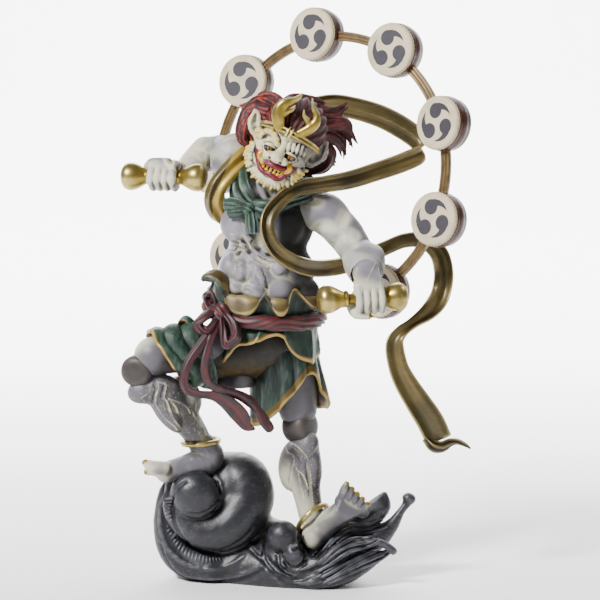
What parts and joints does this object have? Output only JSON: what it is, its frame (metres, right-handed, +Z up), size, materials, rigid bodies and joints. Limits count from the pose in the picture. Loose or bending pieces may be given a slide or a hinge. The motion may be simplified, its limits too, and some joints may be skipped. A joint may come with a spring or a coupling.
{
  "type": "raijin figure",
  "caption": "Painted plastic figure of the thunder god with a ring of drums and a flying scarf, striding on a snail-shaped thundercloud.",
  "frame": {"origin": "on the flat underside of the thundercloud base, below the figure's standing leg", "axes": "+Z up, -Y the side the figure faces, +X the viewer's right; the viewer stands at -Y"},
  "size_m": [0.1091, 0.0879, 0.1765],
  "materials": {
    "skin": "matte painted plastic, pale off-white with grey-violet shading and cream vein lines",
    "hair": "matte dark red plastic with orange-red lights on the locks",
    "gold": "satin gold paint",
    "green": "matte dark green paint with pale rubbed folds, gold-brown lining and hems",
    "sash": "matte grey-mauve cords with dark red grooves",
    "bronze": "satin antique bronze paint, brighter on the ridges",
    "knee": "bare dark grey-brown plastic of the joint discs",
    "cloud": "satin charcoal plastic with pale dry-brushed ridges",
    "drum": "cream drum skins with slate three-comma marks, small studs and mahogany brown bodies",
    "rod": "satin bronze-gold paint"
  },
  "bodies": {
    "root": {"torso": "skin", "head": "skin", "crown": "gold", "hair": "hair", "upper_arm_right": "skin", "forearm_right": "skin", "club_right": "gold", "hand_right": "skin", "upper_arm_left": "skin", "forearm_left": "skin", "club_left": "gold", "hand_left": "skin", "thigh_right": "skin", "thigh_left": "skin", "knee_right": "knee", "knee_left": "knee", "shin_right": "skin", "shin_left": "skin", "anklet_right": "gold", "foot_right": "skin", "anklet_left": "gold", "foot_left": "skin", "base": "cloud", "trouser_right": "green", "trouser_left": "green", "skirt": "green", "waist_cloth": "green", "sash": "sash", "neck_cloth": "green", "scarf": "bronze", "drum_1": "drum", "drum_2": "drum", "drum_3": "drum", "drum_4": "drum", "drum_5": "drum", "drum_6": "drum", "drum_7": "drum", "drum_8": "drum", "ring_rod_1": "rod", "ring_rod_2": "rod", "ring_rod_3": "rod", "ring_rod_4": "rod", "ring_rod_5": "rod", "ring_rod_6": "rod", "ring_rod_7": "rod", "ring_rod_8": "rod", "ring_bracket": "rod"}
  },
  "joints": []
}
